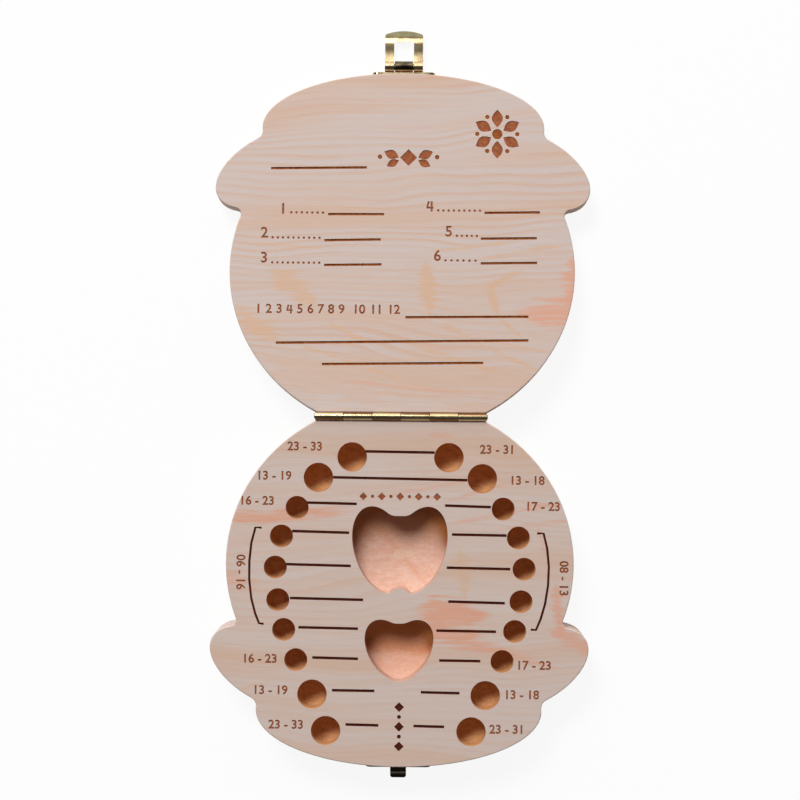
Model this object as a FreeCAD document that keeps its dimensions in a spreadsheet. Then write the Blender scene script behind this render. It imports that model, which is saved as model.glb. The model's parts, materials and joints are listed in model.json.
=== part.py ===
import FreeCAD, Part
import Sketcher
import math
import os

# Baby tooth box: a thick wooden base with round tooth holes and two shaped pockets, a thin lid of the same
# outline, a brass hinge along the straight back edge and a loop catch at the rounded front.
# Millimetres, +Z up, +X along the hinge pin, +Y from the base towards the opened lid. The origin is in the
# middle of the base's underside. The lid lies open, with its far edge on the surface that the base stands on.

SIZES = {
    # outline that base and lid share: a wide round body cut straight at the hinge, a low crown at the front
    # and a pair of leaning lobes between them, with setbacks measured from the front
    "board_length": "112.7",
    "body_half_width": "56.6",
    "body_setback": "12.8",
    "hinge_cut": "6.7",
    "lobe_side": "42.9",
    "lobe_setback": "32",
    "lobe_half_length": "20.5",
    "lobe_half_width": "11.1",
    "lobe_lean": "28.75",
    "crown_half_width": "46.5",
    "crown_half_depth": "18.4",
    "neck_round": "2",
    "brow_round": "3",
    # boards
    "base_thickness": "17",
    "lid_thickness": "6",
    "lid_gap": "0.2",
    "edge_round": "0.4",
    # tooth holes
    "molar_hole": "9.6",
    "front_hole": "7.5",
    "tooth_depth": "10.5",
    "front_floor_round": "3.3",
    "molar_floor_round": "4.2",
    # large tooth-shaped pocket and small heart-shaped pocket, each two leaning ovals bridged up to a dip, with
    # centres measured from the hinge edge; a round fork parts the roots of the tooth
    "tooth_pocket_side": "6.2",
    "tooth_pocket_centre": "42.05",
    "tooth_pocket_half_length": "14.7",
    "tooth_pocket_half_width": "8.6",
    "tooth_pocket_lean": "18",
    "tooth_pocket_back_dip": "3.1",
    "tooth_pocket_fork": "1.8",
    "fork_radius": "4.2",
    "heart_pocket_side": "2.9",
    "heart_pocket_centre": "74.75",
    "heart_pocket_half_length": "11",
    "heart_pocket_half_width": "7.05",
    "heart_pocket_lean": "31.5",
    "heart_pocket_back_dip": "1.25",
    "pocket_depth": "11",
    "dip_round": "4.5",
    "fork_round": "1",
    # hinge
    "hinge_length": "56",
    "hinge_barrel": "2.6",
    "hinge_pin": "1.5",
    "pin_stand": "0.2",
    "hinge_sheet": "0.6",
    "leaf_height": "5.5",
    "knuckle_gap": "0.28",
    # loop catch on the lid
    "hasp_sheet": "0.6",
    "hasp_barrel": "3.8",
    "hasp_pin": "2.2",
    "hasp_pivot_depth": "1.9",
    "hasp_plate_width": "21",
    "hasp_plate_height": "4.6",
    "plate_round": "1.8",
    "hasp_knuckle_gap": "0.3",
    "flap_width": "12.6",
    "window_width": "6.6",
    "window_end": "8.7",
    "crossbar": "1.6",
    "lip_length": "2.8",
    "lip_bend": "35",
    "lip_bow": "15",
    "lip_round": "0.9",
    # hook on the base
    "keeper_plate_height": "7.2",
    "hook_width": "5.2",
    "hook_reach": "4.5",
    "hook_bend": "2.5",
    "hook_tip": "0.3",
    "hook_round": "0.8",
    "latch_play": "0.4",
    # wood screws
    "screw_head": "2.8",
    "screw_head_height": "0.5",
    "screw_shank": "1.5",
    "screw_length": "5.5",
    "screw_point": "1.2",
    "screw_slot": "0.45",
    "screw_slot_depth": "0.3",
    "plate_screw_spacing": "15",
    # clearances, and how far a cutter runs past what it cuts
    "running_clearance": "0.05",
    "swing_clearance": "0.1",
    "seat_gap": "0.02",
    "floor_gap": "0.05",
    "overrun": "1",
}

# Tooth holes of one side, from the hinge edge to the front: how far out, as a share of the body's half
# width, and how far along, as a share of the board's length. The first two and last two are molars.
tooth_across_shares = (0.278, 0.471, 0.592, 0.681, 0.715, 0.699, 0.664, 0.593, 0.498, 0.418)
tooth_along_shares = (0.105, 0.165, 0.252, 0.335, 0.425, 0.519, 0.605, 0.692, 0.791, 0.896)
MOLARS_AT_EACH_END = 2

# Screws along a hinge leaf, as shares of the hinge's length from its middle.
leaf_screw_shares = (-0.39, -0.13, 0.13, 0.39)

KNUCKLES = 6
ABOUT_X = FreeCAD.Vector(1, 0, 0)
ABOUT_Y = FreeCAD.Vector(0, 1, 0)
ABOUT_Z = FreeCAD.Vector(0, 0, 1)
DOWNWARD = FreeCAD.Vector(-1, 0, 0)
QUARTER_TURN = 90
FULL_TURN = 360
CORNER_ANGLE = math.radians(5)
UPRIGHT_SHARE = 0.99
FILLET_LIMIT_SHARE = 0.9
BOWL_SHARE = 1.25
FORK_SHARE = 0.75

doc = FreeCAD.newDocument("tooth_box")
sheet = doc.addObject("Spreadsheet::Sheet", "sizes")
for row, (alias, number) in enumerate(SIZES.items(), start=1):
    sheet.set(f"A{row}", alias)
    sheet.set(f"B{row}", number)
    sheet.setAlias(f"B{row}", alias)
doc.recompute()


def resting_angle(height, reach, depth):
    """Angle by which an arm turns down from level until its low corner, reach out and depth below its pivot,
    meets a surface that lies height below the pivot."""
    return f"(asin(({height}) / sqrt(({reach})^2 + ({depth})^2)) - atan(({depth}) / ({reach})))"


# Places that several pieces share. Base and lid pieces are drawn about the hinge axis: the base reaches
# along -Y from it and the lid along +Y, both with their inner faces just under it.
BODY_HALF_DEPTH = "((sizes.board_length - sizes.body_setback + sizes.hinge_cut) / 2)"
BODY_CENTRE = f"({BODY_HALF_DEPTH} - sizes.hinge_cut)"
LOBE_CENTRE = "(sizes.board_length - sizes.lobe_setback)"
CROWN_CENTRE = "(sizes.board_length - sizes.crown_half_depth)"
HINGE_OFFSET = "(sizes.hinge_barrel / 2 + sizes.swing_clearance)"
AXIS_Y = f"(sizes.board_length / 2 + {HINGE_OFFSET})"
AXIS_Z = "(sizes.base_thickness + sizes.lid_gap / 2)"
INNER_FACE = "(-sizes.lid_gap / 2)"
BASE_LOW = f"({INNER_FACE} - sizes.base_thickness)"
LID_LOW = f"({INNER_FACE} - sizes.lid_thickness)"
FRONT = f"({HINGE_OFFSET} + sizes.board_length)"
LID_TILT = resting_angle(AXIS_Z, FRONT, f"-{LID_LOW}")
LEAF_SCREW_Z = f"(-({HINGE_OFFSET} + sizes.leaf_height) / 2)"
PLATE_BACK = f"({FRONT} + sizes.seat_gap)"
PLATE_FACE = f"({PLATE_BACK} + sizes.hasp_sheet)"

# The loop's pivot on the lid, about the hinge axis and then in the frame.
PIVOT_Y = f"({PLATE_FACE} + sizes.swing_clearance + sizes.hasp_barrel / 2)"
PIVOT_Z = f"({INNER_FACE} - sizes.hasp_pivot_depth)"
PIVOT_FRAME_Y = f"({AXIS_Y} + {PIVOT_Y} * cos({LID_TILT}) + {PIVOT_Z} * sin({LID_TILT}))"
PIVOT_FRAME_Z = f"({AXIS_Z} - {PIVOT_Y} * sin({LID_TILT}) + {PIVOT_Z} * cos({LID_TILT}))"
FLAP_STRAIGHT = "(sizes.window_end + sizes.crossbar)"
LIP_END = f"({FLAP_STRAIGHT} + sizes.lip_length * cos(sizes.lip_bend * 1 deg))"
LIP_LOW = "(sizes.hasp_barrel / 2 + sizes.lip_length * sin(sizes.lip_bend * 1 deg))"
FLAP_DROOP = resting_angle(f"{PIVOT_FRAME_Z} - sizes.floor_gap", LIP_END, LIP_LOW)
HASP_SCREW_Z = f"({LID_LOW} + sizes.edge_round + sizes.hasp_plate_height / 2)"

# The hook, about the hinge axis: its tip ends just above the loop's crossbar when the box is shut.
HOOK_TIP_Z = f"(-{PIVOT_Z} - sizes.window_end + sizes.latch_play)"
HOOK_TOP_Z = f"({HOOK_TIP_Z} + sizes.hook_tip + sizes.hook_bend)"
KEEPER_SCREW_Z = f"({HOOK_TOP_Z} - sizes.keeper_plate_height / 2)"

SHANK_HOLE = "(sizes.screw_shank / 2 + sizes.running_clearance)"
HEAD_HOLE = "(sizes.screw_head / 2 + sizes.running_clearance)"


def value(expression):
    """The number that an expression on the sheet has now."""
    found = sheet.evalExpression(expression)
    return getattr(found, "Value", found)


def bind(piece, expressions):
    for path, expression in expressions.items():
        piece.setExpression(path, expression)


def put(piece, x, y, z, axis=ABOUT_Z, angle="0"):
    """Binds where a piece is, and its turn about an axis in degrees."""
    piece.Placement = FreeCAD.Placement(FreeCAD.Vector(), FreeCAD.Rotation(axis, value(angle)))
    bind(piece, {"Placement.Base.x": x, "Placement.Base.y": y, "Placement.Base.z": z})
    if angle != "0":
        bind(piece, {"Placement.Rotation.Angle": f"{angle} * 1 deg"})


def box(name, length, width, height, x, y, z):
    piece = doc.addObject("Part::Box", name)
    bind(piece, {"Length": length, "Width": width, "Height": height})
    put(piece, x, y, z)
    return piece


def turned(piece, towards):
    """Turns a piece that was drawn along +Z so that it points along +X, +Y or -Y."""
    turns = {"+X": (ABOUT_Y, QUARTER_TURN), "+Y": (ABOUT_X, -QUARTER_TURN), "-Y": (ABOUT_X, QUARTER_TURN)}
    if towards in turns:
        piece.Placement = FreeCAD.Placement(piece.Placement.Base, FreeCAD.Rotation(*turns[towards]))
    return piece


def rod(name, radius, length, x, y, z, towards="+Z"):
    piece = doc.addObject("Part::Cylinder", name)
    bind(piece, {"Radius": radius, "Height": length})
    put(piece, x, y, z)
    return turned(piece, towards)


def oval_prism(name, half_across, half_along, x, y, lean, low, height):
    """Upright prism on an oval whose half axes may be in either order."""
    oval = doc.addObject("Part::Ellipse", f"{name}_oval")
    quarter = f"({half_across} >= {half_along} ? 0 : {QUARTER_TURN})"
    bind(oval, {"MajorRadius": f"max({half_across}; {half_along})"})
    bind(oval, {"MinorRadius": f"min({half_across}; {half_along})"})
    put(oval, x, y, low, ABOUT_Z, f"({lean} + {quarter})")
    prism = doc.addObject("Part::Extrusion", name)
    prism.Base = oval
    prism.DirMode = "Custom"
    prism.Dir = ABOUT_Z
    prism.Solid = True
    bind(prism, {"LengthFwd": height})
    return prism


def fuse(name, pieces):
    whole = doc.addObject("Part::MultiFuse", name)
    whole.Shapes = pieces
    whole.Refine = True
    doc.recompute()
    return whole


def fuse_in_turn(name, pieces):
    """Fuses pieces one after the other, which holds where several curved walls cross close together."""
    whole = pieces[0]
    for piece in pieces[1:]:
        whole = fuse(name, [whole, piece])
    return whole


def cut(name, base, tools):
    left = doc.addObject("Part::Cut", name)
    left.Base = base
    left.Tool = tools[0] if len(tools) == 1 else fuse(f"{name}_tools", tools)
    doc.recompute()
    return left


def rounded(name, base, radii):
    """Rounds the numbered edges of a piece, each by its own radius."""
    piece = doc.addObject("Part::Fillet", name)
    piece.Base = base
    piece.Edges = [(number, radius, radius) for number, radius in radii]
    doc.recompute()
    return piece


def upright_corners(shape):
    """Number and middle of each upright edge where two walls meet at an angle."""
    corners = []
    for number, edge in enumerate(shape.Edges, start=1):
        low, high = edge.Vertexes[0].Point, edge.Vertexes[-1].Point
        if abs(high.z - low.z) < UPRIGHT_SHARE * edge.Length:
            continue
        walls = shape.ancestorsOfType(edge, Part.Face)
        if len(walls) == 1:
            continue
        middle = (low + high) / 2
        normals = [wall.normalAt(*wall.Surface.parameter(middle)) for wall in walls]
        if normals[0].getAngle(normals[1]) > CORNER_ANGLE:
            corners.append((number, middle))
    return corners


def level_edges(shape, height):
    """Numbers of the edges that lie wholly at a height."""
    near = value("sizes.running_clearance")
    spans = [(number, edge.BoundBox) for number, edge in enumerate(shape.Edges, start=1)]
    return [number for number, span in spans if abs(span.ZMin - height) < near and span.ZLength < near]


def edges_along_y(shape):
    """Numbers of the straight edges that run along Y."""
    spans = [(number, edge) for number, edge in enumerate(shape.Edges, start=1)]
    return [number for number, edge in spans if edge.BoundBox.YLength > UPRIGHT_SHARE * edge.Length]


def carry(piece, node, on_lid):
    """Names a piece and places it from the hinge axis to the frame, tilted if it is on the open lid."""
    piece.Label = node
    put(piece, "0", AXIS_Y, AXIS_Z, DOWNWARD, LID_TILT if on_lid else "0")
    nodes.append(piece)


def new_body(name):
    return doc.addObject("PartDesign::Body", name)


def sketch_on(body, role, name, offset=("0", "0", "0")):
    """A sketch on one of the body's origin planes, moved by an offset along the plane's axes and normal."""
    sketch = body.newObject("Sketcher::SketchObject", name)
    plane = [feature for feature in body.Origin.OriginFeatures if feature.Role == role][0]
    sketch.AttachmentSupport = (plane, "")
    sketch.MapMode = "FlatFace"
    for axis, expression in zip("xyz", offset):
        sketch.setExpression(f"AttachmentOffset.Base.{axis}", expression)
    return sketch


def arc_through(start, end, radius, bulge):
    """Arc from start to end, bowed to the right of the way there for a bulge of 1 and to the left for -1,
    with the point numbers of its start and end, which run anticlockwise."""
    chord = end - start
    right = FreeCAD.Vector(chord.y, -chord.x, 0).normalize()
    inward = math.sqrt(max(radius**2 - (chord.Length / 2) ** 2, 0))
    centre = (start + end) / 2 - right * (bulge * inward)
    angles = [math.atan2(point.y - centre.y, point.x - centre.x) for point in (start, end)]
    circle = Part.Circle(centre, ABOUT_Z, radius)
    if bulge > 0:
        return Part.ArcOfCircle(circle, *angles), (1, 2)
    return Part.ArcOfCircle(circle, *angles[::-1]), (2, 1)


def draw_profile(sketch, corners):
    """Closed profile through corners (across, up), each bound to the sheet. A corner with a radius and a
    bulge after it is followed by an arc, any other by a straight line."""
    points = [FreeCAD.Vector(value(corner[0]), value(corner[1]), 0) for corner in corners]
    ends = []
    for index, corner in enumerate(corners):
        start, end = points[index], points[(index + 1) % len(points)]
        rounding = corner[2:]
        if rounding:
            arc, arc_ends = arc_through(start, end, value(rounding[0]), rounding[1])
            sketch.addGeometry(arc)
            ends.append(arc_ends)
        else:
            sketch.addGeometry(Part.LineSegment(start, end))
            ends.append((1, 2))
    for index, corner in enumerate(corners):
        following = (index + 1) % len(corners)
        sketch.addConstraint(
            Sketcher.Constraint("Coincident", index, ends[index][1], following, ends[following][0])
        )
        place = points[index]
        hold(sketch, Sketcher.Constraint("DistanceX", -1, 1, index, ends[index][0], place.x), corner[0])
        hold(sketch, Sketcher.Constraint("DistanceY", -1, 1, index, ends[index][0], place.y), corner[1])
        for radius in corner[2:3]:
            hold(sketch, Sketcher.Constraint("Radius", index, value(radius)), radius)


def hold(sketch, constraint, expression):
    """Adds a constraint whose size follows the sheet."""
    number = sketch.addConstraint(constraint)
    sketch.setExpression(f"Constraints[{number}]", expression)


def draw_circle(sketch, radius):
    """Circle about the sketch's origin."""
    circle = Part.Circle(FreeCAD.Vector(), ABOUT_Z, value(radius))
    sketch.addGeometry(circle)
    sketch.addConstraint(Sketcher.Constraint("Coincident", 0, 3, -1, 1))
    hold(sketch, Sketcher.Constraint("Radius", 0, circle.Radius), radius)


def sweep_evenly(body, kind, name, sketch, length):
    """Pads or pockets a sketch by half a length to each side of its plane."""
    feature = body.newObject(f"PartDesign::{kind}", name)
    feature.Profile = sketch
    feature.SideType = "Symmetric"
    bind(feature, {"Length": length})
    doc.recompute()
    return feature


def board_outline(name, way, low, height):
    """Board blank from the hinge edge along +Y (way 1) or -Y (way -1): body, lobes and crown in one, with the
    hinge edge cut straight, the inward corners rounded and the edges of both faces eased."""

    def along(distance):
        return f"({way} * ({HINGE_OFFSET} + {distance}))"

    ovals = [
        oval_prism(f"{name}_body", "sizes.body_half_width", BODY_HALF_DEPTH, "0", along(BODY_CENTRE), "0",
                   low, height),
        oval_prism(f"{name}_crown", "sizes.crown_half_width", "sizes.crown_half_depth", "0",
                   along(CROWN_CENTRE), "0", low, height),
    ]
    for side in (-1, 1):
        ovals.append(
            oval_prism(f"{name}_lobe", "sizes.lobe_half_length", "sizes.lobe_half_width",
                       f"{side} * sizes.lobe_side", along(LOBE_CENTRE),
                       f"{-way * side} * sizes.lobe_lean", low, height)
        )
    past_hinge = box(f"{name}_past_hinge", "2 * sizes.body_half_width", BODY_HALF_DEPTH,
                     f"{height} + 2 * sizes.overrun", "-sizes.body_half_width",
                     f"{HINGE_OFFSET} - {BODY_HALF_DEPTH}" if way > 0 else f"-{HINGE_OFFSET}",
                     f"{low} - sizes.overrun")
    blank = cut(f"{name}_blank", fuse_in_turn(f"{name}_ovals", ovals), [past_hinge])
    radii = []
    for number, middle in upright_corners(blank.Shape):
        distance = abs(middle.y) - value(HINGE_OFFSET)
        if distance > value(BODY_CENTRE):
            in_front = distance > value(LOBE_CENTRE)
            radii.append((number, value("sizes.brow_round" if in_front else "sizes.neck_round")))
    smooth = rounded(f"{name}_smooth", blank, radii)
    faces = [value(low), value(f"{low} + {height}")]
    rims = [number for face in faces for number in level_edges(smooth.Shape, face)]
    return rounded(f"{name}_eased", smooth, [(number, value("sizes.edge_round")) for number in rims])


def tooth_drills(kind):
    """The molar holes or the front tooth holes of both sides, as cutters with rounded ends."""
    drills = []
    count = len(tooth_across_shares)
    low = f"({INNER_FACE} - sizes.tooth_depth)"
    for index, (across, along) in enumerate(zip(tooth_across_shares, tooth_along_shares)):
        at_an_end = min(index, count - 1 - index) < MOLARS_AT_EACH_END
        if at_an_end != (kind == "molar"):
            continue
        for side in (-1, 1):
            drills.append(
                rod(f"{kind}_drill", f"sizes.{kind}_hole / 2", "sizes.tooth_depth + sizes.overrun",
                    f"{side * across} * sizes.body_half_width",
                    f"-({HINGE_OFFSET} + {along} * sizes.board_length)", low)
            )
    together = fuse(f"{kind}_drills", drills)
    limit = FILLET_LIMIT_SHARE * value(f"min(sizes.{kind}_hole / 2; sizes.tooth_depth)")
    radius = min(value(f"sizes.{kind}_floor_round"), limit)
    ends = level_edges(together.Shape, value(low))
    return rounded(f"{kind}_drills_round", together, [(number, radius) for number in ends])


def pocket_cutter(name, forked):
    """A pocket as two leaning ovals, bridged between them up to a rounded dip at the back and, if forked,
    parted by a round fork at the front. Its floor is a bowl."""
    half_length, half_width = f"sizes.{name}_half_length", f"sizes.{name}_half_width"
    side, lean = f"sizes.{name}_side", f"(sizes.{name}_lean * 1 deg)"
    centre = f"(-({HINGE_OFFSET} + sizes.{name}_centre))"
    reach = f"sqrt(({half_length} * cos({lean}))^2 + ({half_width} * sin({lean}))^2)"
    spread = f"({side} + sqrt(({half_length} * sin({lean}))^2 + ({half_width} * cos({lean}))^2))"
    low = f"({INNER_FACE} - sizes.pocket_depth - sizes.overrun)"
    height = "sizes.pocket_depth + 2 * sizes.overrun"
    ovals = [
        oval_prism(f"{name}_half", half_width, half_length, f"{way} * {side}", centre,
                   f"{-way} * sizes.{name}_lean", low, height)
        for way in (-1, 1)
    ]
    front = f"({reach} - {FORK_SHARE} * sizes.{name}_fork)" if forked else "0"
    bridge = box(f"{name}_bridge", f"2 * {side}", f"{front} + {reach} - sizes.{name}_back_dip", height,
                 f"-{side}", f"{centre} - {front}", low)
    outline = fuse_in_turn(f"{name}_ovals", ovals + [bridge])
    if forked:
        fork = rod(f"{name}_fork", "sizes.fork_radius", height, "0",
                   f"{centre} - {reach} + sizes.{name}_fork - sizes.fork_radius", low)
        outline = cut(f"{name}_forked", outline, [fork])
    corners = [
        (number, value("sizes.dip_round" if corner.y > value(centre) else "sizes.fork_round"))
        for number, corner in upright_corners(outline.Shape)
    ]
    bowl = doc.addObject("Part::Ellipsoid", f"{name}_bowl")
    bind(bowl, {"Radius1": "sizes.pocket_depth"})
    bind(bowl, {"Radius2": f"{BOWL_SHARE} * {spread}", "Radius3": f"{BOWL_SHARE} * {reach}"})
    put(bowl, "0", centre, INNER_FACE)
    hollow = doc.addObject("Part::Common", f"{name}_hollow")
    hollow.Base = rounded(f"{name}_smooth", outline, corners)
    hollow.Tool = bowl
    doc.recompute()
    return hollow


def screw_place(x, face, z, into, on_lid, stem):
    """One screw's place: how far along X, its head's face along Y, its height, the way it points along Y,
    whether it is on the lid, and the stem of its name."""
    return {"x": x, "face": face, "z": z, "into": into, "on_lid": on_lid, "stem": stem}


def pilot_hole(place, sheet_thickness):
    """Cutter for a screw's shank in the wood behind a metal sheet."""
    start = f"({place['face']} + {place['into']} * ({sheet_thickness} - sizes.overrun))"
    return rod("pilot_hole", SHANK_HOLE, "sizes.screw_length + sizes.overrun", place["x"], start, place["z"],
               "+Y" if place["into"] > 0 else "-Y")


def countersunk_hole(place):
    """Cutters for a screw's head and shank through a metal sheet."""
    towards = "+Y" if place["into"] > 0 else "-Y"
    sink = doc.addObject("Part::Cone", "countersink")
    bind(sink, {"Radius1": HEAD_HOLE, "Radius2": SHANK_HOLE, "Height": "sizes.screw_head_height"})
    put(sink, place["x"], place["face"], place["z"])
    back = f"({place['face']} - {place['into']} * sizes.overrun)"
    shank = rod("shank_hole", SHANK_HOLE, "sizes.screw_length", place["x"], back, place["z"], towards)
    return [turned(sink, towards), shank]


def screw(place, number):
    """Countersunk slotted wood screw, turned about its own axis."""
    into = place["into"]
    body = new_body("screw")
    offset = (place["x"], place["face"], place["z"])
    profile = sketch_on(body, "XY_Plane", "screw_profile", offset)
    head, shank = "sizes.screw_head / 2", "sizes.screw_shank / 2"
    draw_profile(profile, [
        ("0", "0"),
        (head, "0"),
        (shank, f"{into} * sizes.screw_head_height"),
        (shank, f"{into} * (sizes.screw_length - sizes.screw_point)"),
        ("0", f"{into} * sizes.screw_length"),
    ])
    turning = body.newObject("PartDesign::Revolution", "screw_turning")
    turning.Profile = profile
    turning.ReferenceAxis = (profile, ["V_Axis"])
    turning.Angle = FULL_TURN
    doc.recompute()
    slot = sketch_on(body, "XY_Plane", "slot_profile", offset)
    half, floor, outside = "sizes.screw_head", f"{into} * sizes.screw_slot_depth", f"{-into} * sizes.overrun"
    draw_profile(slot, [(f"-{half}", outside), (half, outside), (half, floor), (f"-{half}", floor)])
    sweep_evenly(body, "Pocket", "screw_slot", slot, "sizes.screw_slot")
    carry(body, f"{place['stem']}_{number}", place["on_lid"])


def leaf_screws(way, stem):
    """Screws of one hinge leaf, which points into the base (way -1) or the lid (way 1)."""
    face = f"({way} * ({HINGE_OFFSET} - sizes.hinge_sheet))"
    return [
        screw_place(f"{share} * sizes.hinge_length", face, LEAF_SCREW_Z, way, way > 0, stem)
        for share in leaf_screw_shares
    ]


def plate_screws(way, z, stem):
    """The pair of screws of the plate on the lid's front wall (way 1) or the base's (way -1)."""
    face = f"({way} * {PLATE_FACE})"
    return [
        screw_place(f"{side} * sizes.plate_screw_spacing / 2", face, z, -way, way > 0, stem)
        for side in (-1, 1)
    ]


def hinge_leaf(node, way, screws):
    """Hinge leaf on the back wall of the base (way -1) or the lid (way 1), with every other knuckle."""
    low_y = f"({HINGE_OFFSET} - sizes.hinge_sheet)" if way > 0 else f"-{HINGE_OFFSET}"
    pitch = f"(sizes.hinge_length / {KNUCKLES})"
    pieces = [
        box(f"{node}_plate", "sizes.hinge_length", "sizes.hinge_sheet", f"sizes.leaf_height - {HINGE_OFFSET}",
            "-sizes.hinge_length / 2", low_y, "-sizes.leaf_height")
    ]
    for knuckle in range(0 if way < 0 else 1, KNUCKLES, 2):
        start = f"(-sizes.hinge_length / 2 + {knuckle} * {pitch} + sizes.knuckle_gap / 2)"
        length = f"({pitch} - sizes.knuckle_gap)"
        pieces.append(rod(f"{node}_knuckle", "sizes.hinge_barrel / 2", length, start, "0", "0", "+X"))
        pieces.append(box(f"{node}_tab", length, "sizes.hinge_sheet", "sizes.leaf_height", start, low_y,
                          "-sizes.leaf_height"))
    bore = rod(f"{node}_bore", "sizes.hinge_pin / 2 + sizes.running_clearance",
               "sizes.hinge_length + 2 * sizes.overrun", "-sizes.hinge_length / 2 - sizes.overrun", "0", "0",
               "+X")
    holes = [tool for place in screws for tool in countersunk_hole(place)]
    carry(cut(node, fuse(f"{node}_whole", pieces), [bore] + holes), node, way > 0)


def pin(node, diameter, length, y, z, on_lid):
    """Round pin along X, the same length to each side of the middle."""
    body = new_body(node)
    section = sketch_on(body, "YZ_Plane", f"{node}_section", (y, z, "0"))
    draw_circle(section, f"{diameter} / 2")
    sweep_evenly(body, "Pad", f"{node}_length", section, length)
    carry(body, node, on_lid)


def front_plate(name, way, height, middle):
    """Flat plate with rounded corners against the front wall of the lid (way 1) or the base (way -1)."""
    back = PLATE_BACK if way > 0 else f"-{PLATE_FACE}"
    plate = box(f"{name}_sheet", "sizes.hasp_plate_width", "sizes.hasp_sheet", height,
                "-sizes.hasp_plate_width / 2", back, f"{middle} - {height} / 2")
    doc.recompute()
    radius = min(value("sizes.plate_round"), FILLET_LIMIT_SHARE * value(height) / 2)
    return rounded(f"{name}_rounded", plate, [(number, radius) for number in edges_along_y(plate.Shape)])


def hasp_plate(screws):
    """Plate on the lid's front wall, its sheet led out below the pivot and rolled up into one knuckle."""
    width = "(sizes.window_width - 2 * sizes.hasp_knuckle_gap)"
    start = f"-{width} / 2"
    plate = front_plate("hasp_plate", 1, "sizes.hasp_plate_height", HASP_SCREW_Z)
    knuckle = rod("hasp_knuckle", "sizes.hasp_barrel / 2", width, start, PIVOT_Y, PIVOT_Z, "+X")
    tongue = box("hasp_tongue", width, f"{PIVOT_Y} - {PLATE_BACK}", "sizes.hasp_sheet", start, PLATE_BACK,
                 f"{PIVOT_Z} - sizes.hasp_barrel / 2")
    bore = rod("hasp_bore", "sizes.hasp_pin / 2 + sizes.running_clearance", f"{width} + 2 * sizes.overrun",
               f"{start} - sizes.overrun", PIVOT_Y, PIVOT_Z, "+X")
    holes = [tool for place in screws for tool in countersunk_hole(place)]
    whole = fuse("hasp_plate_whole", [plate, knuckle, tongue])
    carry(cut("hasp_plate_cut", whole, [bore] + holes), "hasp_plate", True)


def hasp_flap():
    """Swinging loop, drawn about its pivot: two rolled knuckles, a flat loop round a window, a bent lip with a
    bowed end."""
    body = new_body("hasp_flap")
    radius, sheet_thickness, bend = "(sizes.hasp_barrel / 2)", "sizes.hasp_sheet", "(sizes.lip_bend * 1 deg)"
    spare_end = f"({LIP_END} + sizes.overrun * cos({bend}))"
    spare_low = f"(-{LIP_LOW} - sizes.overrun * sin({bend}))"
    barrel = sketch_on(body, "YZ_Plane", "barrel_profile")
    draw_circle(barrel, radius)
    sweep_evenly(body, "Pad", "barrel", barrel, "sizes.flap_width")
    loop = sketch_on(body, "YZ_Plane", "loop_profile")
    draw_profile(loop, [
        ("0", f"-{radius}"),
        (FLAP_STRAIGHT, f"-{radius}"),
        (spare_end, spare_low),
        (f"{spare_end} + {sheet_thickness} * sin({bend})", f"{spare_low} + {sheet_thickness} * cos({bend})"),
        (f"{FLAP_STRAIGHT} + {sheet_thickness} * tan({bend} / 2)", f"-{radius} + {sheet_thickness}"),
        ("0", f"-{radius} + {sheet_thickness}"),
    ])
    sweep_evenly(body, "Pad", "loop", loop, "sizes.flap_width")
    bow = sketch_on(body, "XY_Plane", "bow_profile")
    half, past = "(sizes.flap_width / 2 + sizes.overrun)", f"({spare_end} + sizes.overrun)"
    shoulder = f"({LIP_END} - sizes.lip_bow + sqrt(sizes.lip_bow^2 - {half}^2))"
    draw_profile(bow, [
        (half, shoulder, "sizes.lip_bow", 1), (f"-{half}", shoulder), (f"-{half}", past), (half, past),
    ])
    trimmed = sweep_evenly(body, "Pocket", "bow", bow, "4 * sizes.hasp_barrel")
    lip = body.newObject("PartDesign::Fillet", "lip_corners")
    lip.Base = (trimmed, lip_corner_names(trimmed.Shape))
    bind(lip, {"Radius": "sizes.lip_round"})
    doc.recompute()
    window = sketch_on(body, "XY_Plane", "window_profile")
    half, back, end = "(sizes.window_width / 2)", f"(-{radius} - sizes.overrun)", "sizes.window_end"
    draw_profile(window, [(f"-{half}", back), (half, back), (half, end), (f"-{half}", end)])
    sweep_evenly(body, "Pocket", "window", window, "2 * sizes.hasp_barrel")
    bore = sketch_on(body, "YZ_Plane", "bore_profile")
    draw_circle(bore, "sizes.hasp_pin / 2 + sizes.running_clearance")
    sweep_evenly(body, "Pocket", "bore", bore, "sizes.flap_width + 2 * sizes.overrun")
    body.Label = "hasp_flap"
    put(body, "0", PIVOT_FRAME_Y, PIVOT_FRAME_Z, DOWNWARD, FLAP_DROOP)
    nodes.append(body)


def lip_corner_names(shape):
    """Names of the upright edges at the two free corners of the loop's lip."""
    near = value("sizes.running_clearance")
    side, past = value("sizes.flap_width / 2") - near, value(FLAP_STRAIGHT) + near
    spans = [(number, edge.BoundBox) for number, edge in enumerate(shape.Edges, start=1)]
    return [
        f"Edge{number}"
        for number, span in spans
        if span.YMin > past and max(span.XLength, span.YLength) < near and abs(span.XMin) > side
    ]


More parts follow.
